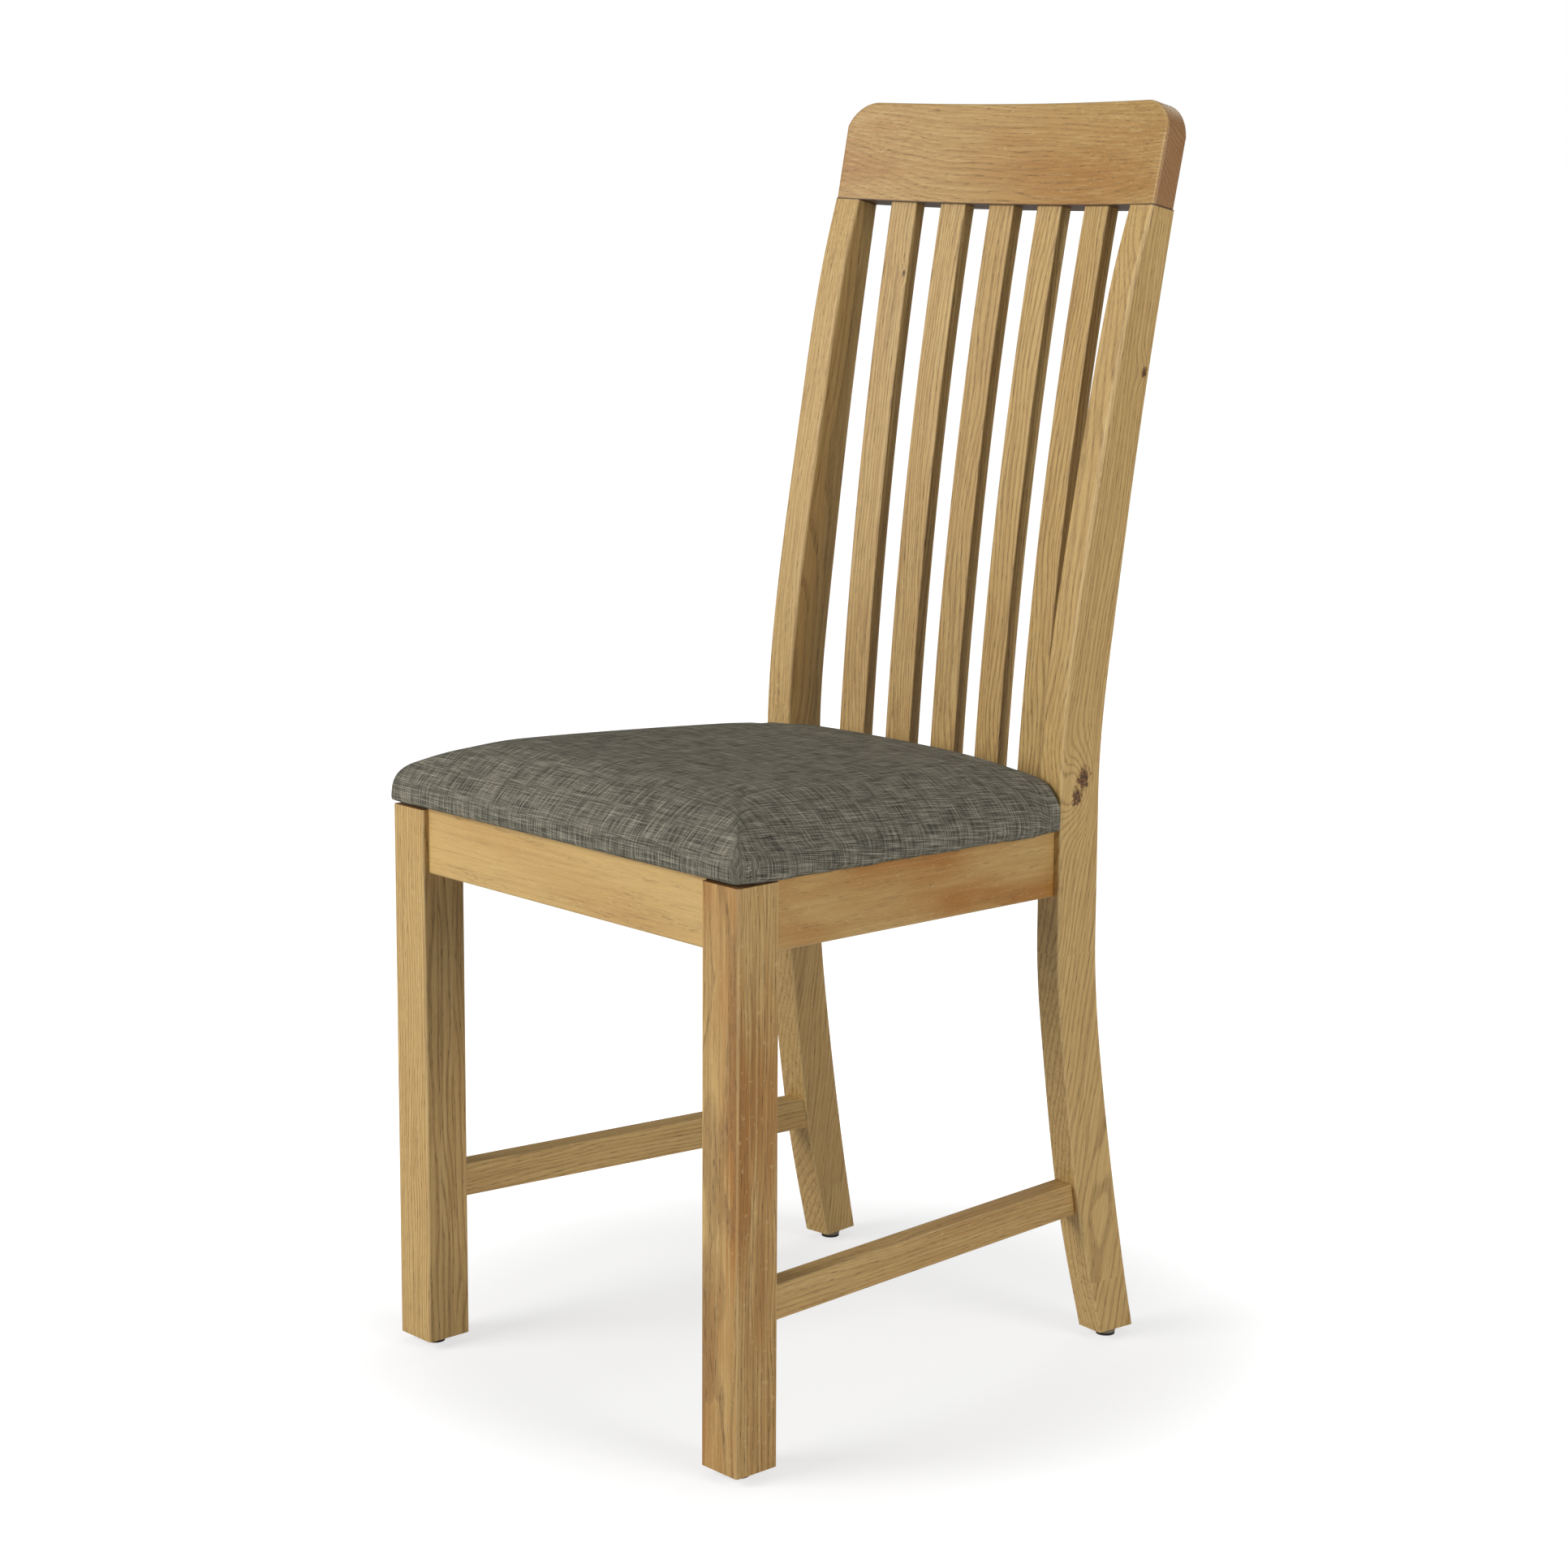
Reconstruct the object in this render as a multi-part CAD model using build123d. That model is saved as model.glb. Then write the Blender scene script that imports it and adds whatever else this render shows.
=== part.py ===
from build123d import *
import os
from math import atan, cos, degrees, radians, sin

# Oak dining chair: square front legs, curved one-piece back legs, a bowed crest rail over five bent slats,
# a sloping seat frame with corner blocks, and a padded seat on a plywood board.
# Millimetres. +Z up, the sitter faces -Y, +X is to the right seen from the front. Heights are above the floor.
# While the chair is drawn, Y = 0 is the front face of the front legs. The last step moves the origin to the
# middle of the footprint.

# ---- Driving dimensions ------------------------------------------------------------------------------------

FOOT_HEIGHT = 7.5           # the glides lift the wood this far off the floor
EASE = 2.5                  # roundover on the long edges of the wood
FINE_EASE = 1.2             # roundover on slats and stretchers

FRONT_WIDTH = 415.0         # over the front legs
LEG_SIDE = 40.0             # front legs are square

SEAT_FRONT_HEIGHT = 449.5   # top of the seat rails, at Y = 0
SEAT_SLOPE = 0.045          # the seat falls this much per unit towards the back
RAIL_HEIGHT = 53.0
RAIL_THICK = 18.0
RAIL_SETBACK = 5.0          # seat rails stand back from the faces of the legs

BACK_FOOT_X = 178.0         # outer front corner of a back leg, at the floor
BACK_FOOT_Y = 424.0
BACK_LEG_THICK = 26.6       # thickness of the board that a back leg is cut from
BACK_LEG_TURN = 4.85        # degrees: each back leg is turned to follow the bowed crest rail
SEAT_FACE = -54.5           # front edge of the back leg at the seat, measured from its foot
SEAT_BACK = -13.0           # rear edge of the back leg at the seat

BOW = 15.0                  # the crest rail and the rear rail are bowed by this much
BOW_HALF_SPAN = 190.0       # over this half length

CREST_LEAN = 12.5           # degrees from upright
CREST_HEIGHT = 84.0
CREST_THICK = 23.0
CREST_CORNER = 32.0
CREST_FRONT_Y = 468.2       # front face of the crest rail at its lower edge, at X = 0
CREST_BASE_Z = 920.0        # height of that edge

SLAT_COUNT = 5
SLAT_PITCH = 54.7
SLAT_WIDTH = 28.0
SLAT_THICK = 12.0
SLAT_TENON = 12.0           # length of a slat inside each rail

REAR_RAIL_Y = 399.5         # front face of the rear rail, at X = 0
REAR_RAIL_THICK = 24.0

STRETCHER_HEIGHT = 27.0
STRETCHER_THICK = 19.0
STRETCHER_TOP_FRONT = 144.5
STRETCHER_TOP_REAR = 139.0
TENON_THICK = 10.0
TENON_HEIGHT = 18.0
TENON_LENGTH = 14.0

DOWEL_RADIUS = 4.0
DOWEL_LENGTH = 36.0
DOWEL_SPACING = 26.0

BLOCK_THICK = 22.0
RAIL_SCREW = 24.0           # screws from the corner blocks into the rails
SEAT_SCREW = 32.0           # screws up through the corner blocks into the seat board
BOARD_THICK = 12.0
BOARD_INSET = 5.0           # the foam wraps round the edge of the board by this much
DUST_COVER_THICK = 0.6
COVER_THICK = 1.5
CUSHION_HEIGHT = 46.0
CUSHION_EDGE = 20.0         # radius of the upper edge of the cushion
CUSHION_SIDE = 4.0          # the cushion stands this far over the legs at the front and the sides
SEAT_REAR_Y = 390.0         # rear corners of the seat, between the back legs
SEAT_REAR_BOW = 8.0         # its rear edge follows the bow of the slats
FLANGE = 28.0               # the cover is turned under the board by this much
POST_CLEARANCE = 0.5

GLIDE_TOP_RADIUS = 9.0
GLIDE_FOOT_RADIUS = 7.8
GLIDE_BODY = 5.5
NAIL_RADIUS = 1.1
NAIL_LENGTH = 18.0

# ---- Worked out from the driving dimensions ----------------------------------------------------------------

half_front = FRONT_WIDTH / 2
turn = radians(BACK_LEG_TURN)
lean = radians(CREST_LEAN)
pad_height = FOOT_HEIGHT - GLIDE_BODY
sides = {"left": -1, "right": 1}

# The plane that the seat board lies on, with its own origin at Y = 0.
seat_plane = Plane(
    origin=(0, 0, SEAT_FRONT_HEIGHT),
    x_dir=(1, 0, 0),
    z_dir=(0, sin(atan(SEAT_SLOPE)), cos(atan(SEAT_SLOPE))),
)
# The plane between the crest rail and the tops of the back legs. Its Y axis runs back through the rail.
crest_plane = Plane(
    origin=(0, CREST_FRONT_Y, CREST_BASE_Z),
    x_dir=(1, 0, 0),
    z_dir=(0, sin(lean), cos(lean)),
)


def bow_at(x):
    """How far a bowed rail has come forward of its middle, at a distance x from it."""
    return BOW * (x / BOW_HALF_SPAN) ** 2


def back_leg_point(depth, across):
    """Plan point on the right back leg: depth from the foot's front corner, across from the outer face."""
    x = BACK_FOOT_X + depth * sin(turn) - across * cos(turn)
    y = BACK_FOOT_Y + depth * cos(turn) + across * sin(turn)
    return (x, y)


def mirrored(part, side):
    """The right-hand part, or its mirror image for the left."""
    return part if side == "right" else mirror(part, about=Plane.YZ)


def both_sides(pieces):
    """The right-hand pieces and their mirror images."""
    return [mirrored(piece, side) for side in sides for piece in pieces]


def eased(part, axis, radius):
    """Round the edges of a part that run along an axis."""
    return fillet(part.edges().filter_by(axis), radius)


def seat_slab(top, bottom):
    """Everything between two depths below the seat plane, which cuts rails and blocks to the seat's slope."""
    block = Pos(0, 200, (top + bottom) / 2) * Box(600, 600, top - bottom)
    return seat_plane * block


def prism(points, bottom, top):
    """A plan outline raised between two heights."""
    return Pos(0, 0, bottom) * extrude(make_face(Polyline(*points, close=True)), top - bottom)


def bowed_board(thick, height):
    """A board bowed in plan, with the middle of its front face at the origin, bottom at Z = 0."""
    end, mid = BOW_HALF_SPAN, BOW
    outline = [
        ThreePointArc((-end, -mid), (0, 0), (end, -mid)),
        Line((end, -mid), (end, thick - mid)),
        ThreePointArc((end, thick - mid), (0, thick), (-end, thick - mid)),
        Line((-end, thick - mid), (-end, -mid)),
    ]
    return extrude(make_face(outline), height)


# ---- Fasteners ---------------------------------------------------------------------------------------------


def dowel(start, direction, length=DOWEL_LENGTH, radius=DOWEL_RADIUS):
    """A beech dowel centred on a joint face, with bevelled ends."""
    pin = Cylinder(radius, length)
    pin = chamfer(pin.edges().filter_by(GeomType.CIRCLE), 0.8)
    return Plane(origin=start, z_dir=direction) * pin


def screw(head, direction, length, recess=True):
    """A countersunk wood screw, its head's face at head. Without the recess it is the hole that it makes."""
    shank_radius, head_radius, head_depth, tip = 2.0, 4.0, 2.6, 5.0
    outline = Polyline(
        (0, 0), (head_radius, 0), (shank_radius, head_depth),
        (shank_radius, length - tip), (0, length), close=True,
    )
    body = revolve(Plane.XZ * make_face(outline), Axis.Z)
    if recess:
        body -= Pos(0, 0, 0.6) * (Box(4.4, 0.9, 1.4) + Box(0.9, 4.4, 1.4))
    return Plane(origin=head, z_dir=direction) * body


# ---- Legs --------------------------------------------------------------------------------------------------


def make_front_leg():
    """The right front leg: a square post, cut level just below the sloping seat."""
    top = SEAT_FRONT_HEIGHT - SEAT_SLOPE * LEG_SIDE
    height = top - FOOT_HEIGHT
    x = half_front - LEG_SIDE / 2
    leg = Pos(x, LEG_SIDE / 2, FOOT_HEIGHT + height / 2) * Box(LEG_SIDE, LEG_SIDE, height)
    return eased(leg, Axis.Z, EASE)


def make_back_leg():
    """The right back leg: a board cut to a curve, straight where the seat rails meet it, thinner at the top."""
    foot = FOOT_HEIGHT
    seat_low, seat_high = 347.5, 457.5
    front_low = Spline(
        (0, foot), (-24, 104.5), (-45.5, 242.5), (SEAT_FACE, seat_low), tangents=[(-0.26, 1), (0, 1)],
    )
    front_high = Spline(
        (SEAT_FACE, seat_high), (-45.5, 572), (-16.5, 733), (18, 886), (38, 946), tangents=[(0, 1), (0.33, 1)],
    )
    back_high = Spline(
        (60.5, 946), (21.5, 736), (-1, 588), (SEAT_BACK, seat_high), tangents=[(-0.2, -1), (0, -1)],
    )
    back_low = Spline(
        (SEAT_BACK, seat_low), (-3, 229.5), (17, 107.5), (37, foot), tangents=[(0, -1), (0.22, -1)],
    )
    outline = [
        front_low,
        Line(front_low @ 1, front_high @ 0),
        front_high,
        Line(front_high @ 1, back_high @ 0),
        back_high,
        Line(back_high @ 1, back_low @ 0),
        back_low,
        Line(back_low @ 1, front_low @ 0),
    ]
    # The board's own plane: X runs back along its depth, Y is up, and it is extruded towards the middle.
    board_plane = Plane(
        origin=(BACK_FOOT_X, BACK_FOOT_Y, 0),
        x_dir=(sin(turn), cos(turn), 0),
        z_dir=(-cos(turn), sin(turn), 0),
    )
    board = extrude(board_plane * make_face(flip_up(outline)), BACK_LEG_THICK, dir=board_plane.z_dir)
    long_edges = board.edges().sort_by(SortBy.LENGTH)[-12:]
    return split(fillet(long_edges, EASE), bisect_by=crest_plane, keep=Keep.BOTTOM)


def flip_up(outline):
    """The board plane's Y axis points down, so the outline is turned over before it is placed there."""
    return [mirror(edge, about=Plane.XZ) for edge in outline]


# ---- Seat frame --------------------------------------------------------------------------------------------


def rail_points():
    """Plan outline of the right side rail, from the front leg's back face to the back leg's front face."""
    outer = half_front - RAIL_SETBACK
    rear_outer = back_leg_point(SEAT_FACE, RAIL_SETBACK + 1.5)
    rear_inner = back_leg_point(SEAT_FACE, RAIL_SETBACK + 1.5 + RAIL_THICK * 1.019)
    return [(outer, LEG_SIDE), rear_outer, rear_inner, (outer - RAIL_THICK * 1.006, LEG_SIDE)]


def eased_below(rail):
    """Round the two long edges along the underside of a seat rail."""
    long_edges = rail.edges().sort_by(SortBy.LENGTH)[-4:]
    return fillet(long_edges.sort_by(Axis(seat_plane.origin, seat_plane.z_dir))[:2], EASE)


def make_side_rail():
    return eased_below(prism(rail_points(), 300, 500) & seat_slab(0, -RAIL_HEIGHT))


def make_front_rail():
    inner = half_front - LEG_SIDE
    front, back = RAIL_SETBACK, RAIL_SETBACK + RAIL_THICK
    points = [(-inner, front), (inner, front), (inner, back), (-inner, back)]
    return eased_below(prism(points, 300, 500) & seat_slab(0, -RAIL_HEIGHT))


def make_rear_rail():
    """The bowed rail between the back legs, which carries the seat and the feet of the slats."""
    near = [back_leg_point(-120, BACK_LEG_THICK), back_leg_point(60, BACK_LEG_THICK)]
    far = [(-x, y) for x, y in reversed(near)]
    between_legs = prism(near + far, 300, 500)
    board = Pos(0, REAR_RAIL_Y, 300) * bowed_board(REAR_RAIL_THICK, 200)
    return eased_below(board & between_legs & seat_slab(0, -RAIL_HEIGHT))


def stretcher_bar(height, thick, extra):
    """A bar along the right side, its ends carried past the legs' faces by extra."""
    outer_front = half_front - RAIL_SETBACK
    outer_rear, rear_y = back_leg_point(-28, RAIL_SETBACK)
    inset = (STRETCHER_THICK - thick) / 2
    run_y = rear_y - LEG_SIDE
    step_x = (outer_rear - outer_front) / run_y
    step_z = (STRETCHER_TOP_REAR - STRETCHER_TOP_FRONT) / run_y
    faces = []
    for y in (LEG_SIDE - extra, rear_y + extra):
        x = outer_front + step_x * (y - LEG_SIDE) - inset - thick / 2
        z = STRETCHER_TOP_FRONT + step_z * (y - LEG_SIDE) - STRETCHER_HEIGHT / 2
        faces.append(Plane(origin=(x, y, z), x_dir=(1, 0, 0), z_dir=(0, 1, 0)) * Rectangle(thick, height))
    return loft(faces)


def make_stretcher(front_leg, back_leg):
    """A side stretcher with a tenon at each end, shouldered against both legs."""
    bar = stretcher_bar(STRETCHER_HEIGHT, STRETCHER_THICK, 6)
    long_edges = bar.edges().sort_by(SortBy.LENGTH)[-4:]
    bar = fillet(long_edges, FINE_EASE) - front_leg - back_leg
    return bar + stretcher_bar(TENON_HEIGHT, TENON_THICK, TENON_LENGTH)


def make_corner_block(points, *neighbours):
    """A block in a corner of the seat frame, cut to fit the legs and rails that it is glued to."""
    block = prism(points, 300, 500) & seat_slab(0, -BLOCK_THICK)
    for neighbour in neighbours:
        block -= neighbour
    return block


# ---- Back --------------------------------------------------------------------------------------------------


def make_crest_rail():
    """The bowed top rail: bent board, rounded upper corners, ends flush with the back legs."""
    rail = crest_plane * bowed_board(CREST_THICK, CREST_HEIGHT)
    outer = [back_leg_point(-60, 0), back_leg_point(140, 0)]
    rail &= prism(outer + [(-x, y) for x, y in reversed(outer)], 850, 1050)
    half_length = back_leg_point(45, 0)[0]
    outline = Rectangle(2 * half_length + 4, CREST_HEIGHT, align=(Align.CENTER, Align.MIN))
    outline = fillet(outline.vertices().group_by(Axis.Y)[-1], CREST_CORNER)
    face_plane = Plane(origin=crest_plane.origin, x_dir=(1, 0, 0), z_dir=-crest_plane.y_dir)
    rail &= extrude(face_plane * outline, 80, both=True)
    face_edges = [edge for edge in rail.edges() if edge.length > CREST_THICK + 5]
    return fillet([edge for edge in face_edges if edge.center().Z > CREST_BASE_Z + 10], EASE)


def make_slat(x):
    """A bent slat, its front face in line with the bow of the rails."""
    path = Plane.YZ * ThreePointArc((412.6, 417.5), (436.8, 675.0), (480.1, 930.5))
    section = Plane(origin=path @ 0, x_dir=(1, 0, 0), z_dir=path % 0)
    slat = sweep(section * RectangleRounded(SLAT_WIDTH, SLAT_THICK, FINE_EASE), path)
    angle = -degrees(atan(2 * BOW * x / BOW_HALF_SPAN**2))
    pivot = Pos(0, CREST_FRONT_Y, 0)
    return Pos(x, -bow_at(x), 0) * pivot * Rot(0, 0, angle) * pivot.inverse() * slat


# ---- Seat --------------------------------------------------------------------------------------------------


def seat_outline(grow):
    """Plan of the seat, in the seat plane: tapered, bowed at the rear. Positive grow makes it larger."""
    front_x = half_front + grow
    rear_x, rear_y = back_leg_point(SEAT_FACE, 0)
    end_y = SEAT_REAR_Y + grow
    end_x = rear_x + grow - (end_y - rear_y) * (half_front - rear_x) / rear_y
    return [
        Line((-front_x, -grow), (front_x, -grow)),
        Line((front_x, -grow), (end_x, end_y)),
        ThreePointArc((end_x, end_y), (0, end_y + SEAT_REAR_BOW), (-end_x, end_y)),
        Line((-end_x, end_y), (-front_x, -grow)),
    ]


def post_notches(clearance):
    """The space that the back legs take out of the seat."""
    corners = [
        back_leg_point(SEAT_FACE - clearance, -40),
        back_leg_point(40, -40),
        back_leg_point(40, BACK_LEG_THICK + clearance),
        back_leg_point(SEAT_FACE - clearance, BACK_LEG_THICK + clearance),
    ]
    right = prism(corners, 350, 600)
    return right + mirrored(right, "left")


def seat_layer(grow, bottom, top, corner, clearance):
    """A layer of the seat between two heights over the seat plane."""
    layer = Pos(0, 0, bottom) * extrude(make_face(seat_outline(grow)), top - bottom)
    layer = fillet(layer.edges().filter_by(Axis.Z), corner)
    return layer, post_notches(clearance)


def make_cushion_form(inset, bottom, top, edge):
    """The padded part of the seat: a plan with round corners and a rounded upper edge."""
    form, notches = seat_layer(CUSHION_SIDE - inset, bottom, top, 14 - inset, POST_CLEARANCE + inset)
    form = fillet(form.edges().group_by(Axis.Z)[-1], edge)
    return seat_plane * form - notches


def make_seat():
    """Cover, foam, board and dust cover, from the outside in."""
    under = DUST_COVER_THICK
    board_low = under + COVER_THICK
    board_high = board_low + BOARD_THICK
    outer = make_cushion_form(0, under, under + CUSHION_HEIGHT, CUSHION_EDGE)
    inner = make_cushion_form(
        COVER_THICK, board_low, under + CUSHION_HEIGHT - COVER_THICK, CUSHION_EDGE - COVER_THICK,
    )
    sheet_inset = COVER_THICK + BOARD_INSET
    board, board_notches = seat_layer(
        CUSHION_SIDE - sheet_inset, board_low, board_high, 8, POST_CLEARANCE + sheet_inset,
    )
    board = seat_plane * board - board_notches
    opening, opening_notches = seat_layer(-FLANGE, under, board_low, 4, FLANGE)
    sheet, sheet_notches = seat_layer(-8, 0, under, 6, 8)
    return {
        "seat_cover": outer - inner - (seat_plane * opening - opening_notches),
        "seat_board": board,
        "seat_foam": inner - board,
        "dust_cover": seat_plane * sheet - sheet_notches,
    }


# ---- Feet --------------------------------------------------------------------------------------------------


def foot_places():
    """The middle of each leg's underside, by name."""
    front = (half_front - LEG_SIDE / 2, LEG_SIDE / 2)
    back = back_leg_point(18.5, BACK_LEG_THICK / 2)
    places = {}
    for side, sign in sides.items():
        places["front_" + side] = (sign * front[0], front[1])
        places["back_" + side] = (sign * back[0], back[1])
    return places


def make_glide(place):
    """Tapered plastic body of a nail-on glide."""
    body = Cone(GLIDE_FOOT_RADIUS, GLIDE_TOP_RADIUS, GLIDE_BODY, align=(Align.CENTER, Align.CENTER, Align.MIN))
    return Pos(place[0], place[1], pad_height) * body


def make_pad(place):
    """Felt disc that stands on the floor."""
    pad = Cylinder(GLIDE_FOOT_RADIUS, pad_height, align=(Align.CENTER, Align.CENTER, Align.MIN))
    return Pos(place[0], place[1], 0) * pad


def make_nail(place):
    """Nail of a glide, from inside its body up into the leg."""
    nail = Cone(NAIL_RADIUS, 0.4, NAIL_LENGTH, align=(Align.CENTER, Align.CENTER, Align.MIN))
    return Pos(place[0], place[1], pad_height + 2) * nail


# ---- Fastener places ---------------------------------------------------------------------------------------


def seat_z(y):
    """Height of the seat plane."""
    return SEAT_FRONT_HEIGHT - SEAT_SLOPE * y


def rail_dowels():
    """Two dowels in each of the six outer rail joints and in both ends of the rear rail, right side."""
    inner = half_front - LEG_SIDE
    rail_mid = (half_front - RAIL_SETBACK - RAIL_THICK / 2, LEG_SIDE)
    outline = rail_points()
    rear_mid = [(a + b) / 2 for a, b in zip(outline[1], outline[2])]
    along = (rear_mid[0] - rail_mid[0], rear_mid[1] - rail_mid[1], 0)
    rear_rail_end = back_leg_point(-22, BACK_LEG_THICK)
    joints = [
        ((inner, RAIL_SETBACK + RAIL_THICK / 2), (1, 0, 0)),
        (rail_mid, along),
        (rear_mid, (-sin(turn), -cos(turn), 0)),
        (rear_rail_end, (cos(turn), -sin(turn), 0)),
    ]
    pins = []
    for (x, y), direction in joints:
        middle = seat_z(y) - RAIL_HEIGHT / 2
        for offset in (-DOWEL_SPACING / 2, DOWEL_SPACING / 2):
            pins.append(dowel((x, y, middle + offset), direction))
    return pins


def crest_dowels():
    """Two dowels between the right back leg and the crest rail."""
    pins = []
    for across in (-6.0, 6.0):
        x, y = back_leg_point(44.5, BACK_LEG_THICK / 2 + across)
        start = crest_plane.from_local_coords((x, (y - CREST_FRONT_Y) / cos(lean), 0))
        pins.append(dowel(start, crest_plane.z_dir, length=50, radius=3.0))
    return pins


def block_screws(corner_a, corner_b, recess=True):
    """Two screws through the slanting face of a block into the rails, and one up into the seat board."""
    ax, ay = corner_a
    bx, by = corner_b
    normal = Vector(by - ay, ax - bx, 0).normalized()
    into = normal if normal.X > 0 else -normal
    pins = []
    for share in (0.18, 0.82):
        x, y = ax + (bx - ax) * share, ay + (by - ay) * share
        pins.append(screw((x, y, seat_z(y) - BLOCK_THICK / 2), into, RAIL_SCREW, recess))
    middle = Vector((ax + bx) / 2, (ay + by) / 2, 0) + into * 10
    head = (middle.X, middle.Y, seat_z(middle.Y) - BLOCK_THICK)
    pins.append(screw(head, (0, 0, 1), SEAT_SCREW, recess))
    return pins


# ---- Assembly ----------------------------------------------------------------------------------------------


def build():
    nodes = {}
    front_leg = make_front_leg()
    back_leg = make_back_leg()
    side_rail = make_side_rail()
    front_rail = make_front_rail()
    rear_rail = make_rear_rail()
    crest = make_crest_rail()
    seat = make_seat()

    stretcher = make_stretcher(front_leg, back_leg)
    tenon = stretcher_bar(TENON_HEIGHT, TENON_THICK, TENON_LENGTH)

    front_slant = ((110, 14), (188, 100))
    rear_slant = ((158, 322), (88, 398))
    front_block = make_corner_block([front_slant[0], (188, 14), front_slant[1]], front_leg, front_rail, side_rail)
    rear_block = make_corner_block([rear_slant[0], (158, 398), rear_slant[1]], back_leg, rear_rail, side_rail)

    # Slats, let into both rails.
    for index in range(SLAT_COUNT):
        slat = make_slat((index - (SLAT_COUNT - 1) / 2) * SLAT_PITCH)
        crest -= slat
        rear_rail -= slat
        nodes[f"back_slat_{index + 1}"] = slat

    # Dowels and screws, with their holes.
    dowels = rail_dowels()
    top_dowels = crest_dowels()
    front_holes = block_screws(*front_slant, recess=False)
    rear_holes = block_screws(*rear_slant, recess=False)
    *front_screws, front_seat_screw = block_screws(*front_slant)
    *rear_screws, rear_seat_screw = block_screws(*rear_slant)
    for pin in dowels + [tenon]:
        front_leg -= pin
        back_leg -= pin
    for pin in top_dowels:
        back_leg -= pin
    for pin in dowels + front_holes + rear_holes:
        side_rail -= pin
    for hole in front_holes:
        front_block -= hole
    for hole in rear_holes:
        rear_block -= hole
    for pin in both_sides(dowels + front_holes):
        front_rail -= pin
    for pin in both_sides(dowels + rear_holes):
        rear_rail -= pin
    for pin in both_sides(top_dowels):
        crest -= pin
    for hole in both_sides([front_holes[-1], rear_holes[-1]]):
        for layer in ("seat_board", "seat_cover", "dust_cover"):
            seat[layer] -= hole

    for side in sides:
        nodes[f"front_leg_{side}"] = mirrored(front_leg, side)
        nodes[f"back_leg_{side}"] = mirrored(back_leg, side)
        nodes[f"side_apron_{side}"] = mirrored(side_rail, side)
        nodes[f"side_stretcher_{side}"] = mirrored(stretcher, side)
        nodes[f"front_corner_block_{side}"] = mirrored(front_block, side)
        nodes[f"rear_corner_block_{side}"] = mirrored(rear_block, side)
    nodes["front_apron"] = front_rail
    nodes["rear_apron"] = rear_rail
    nodes["crest_rail"] = crest
    nodes.update(seat)
    nodes["rail_dowels"] = Compound(both_sides(dowels))
    nodes["crest_dowels"] = Compound(both_sides(top_dowels))
    nodes["block_screws"] = Compound(both_sides(front_screws + rear_screws))
    nodes["seat_screws"] = Compound(both_sides([front_seat_screw, rear_seat_screw]))

    # Glides.
    nails = []
    pads = []
    for name, place in foot_places().items():
        nail = make_nail(place)
        leg, side = name.split("_")
        nodes[f"{leg}_leg_{side}"] -= nail
        nodes[f"glide_{name}"] = make_glide(place) - nail
        nails.append(nail)
        pads.append(make_pad(place))
    nodes["glide_nails"] = Compound(nails)
    nodes["glide_pads"] = Compound(pads)
    return nodes


def main():
    nodes = build()
    box = Compound([node for node in nodes.values()]).bounding_box()
    to_origin = Pos(-box.center().X, -box.center().Y, -box.min.Z)
    os.makedirs("parts", exist_ok=True)
    for name, node in nodes.items():
        export_step(to_origin * node, f"parts/{name}.step")
        print(name, round(node.volume))
    print("size", box.size, "origin moved by", to_origin.position)


main()
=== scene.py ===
import bpy
import bmesh
import numpy as np
from math import cos, pi, radians, sin
from mathutils import Matrix, Vector


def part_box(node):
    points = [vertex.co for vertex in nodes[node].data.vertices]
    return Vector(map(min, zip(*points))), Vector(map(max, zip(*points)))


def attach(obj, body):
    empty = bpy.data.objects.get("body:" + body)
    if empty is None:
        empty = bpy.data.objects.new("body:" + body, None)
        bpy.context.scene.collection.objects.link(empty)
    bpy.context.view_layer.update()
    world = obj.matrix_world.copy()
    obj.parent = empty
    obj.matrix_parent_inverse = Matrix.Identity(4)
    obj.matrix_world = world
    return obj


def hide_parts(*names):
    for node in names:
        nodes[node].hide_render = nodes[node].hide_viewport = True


# Oak dining chair with a fabric seat: its materials, a stuffed cushion, a pale floor, soft light
# and the camera. All lengths are in metres.
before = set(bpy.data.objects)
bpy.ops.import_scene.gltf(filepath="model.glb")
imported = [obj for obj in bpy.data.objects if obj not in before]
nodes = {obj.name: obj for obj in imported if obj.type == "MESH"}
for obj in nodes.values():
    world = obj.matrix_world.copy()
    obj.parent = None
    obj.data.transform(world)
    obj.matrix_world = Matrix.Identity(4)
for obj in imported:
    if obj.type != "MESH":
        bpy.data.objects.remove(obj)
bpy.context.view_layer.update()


# ---- Shader graphs -------------------------------------------------------------------------------

BUMP_DEPTH = 0.001


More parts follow.
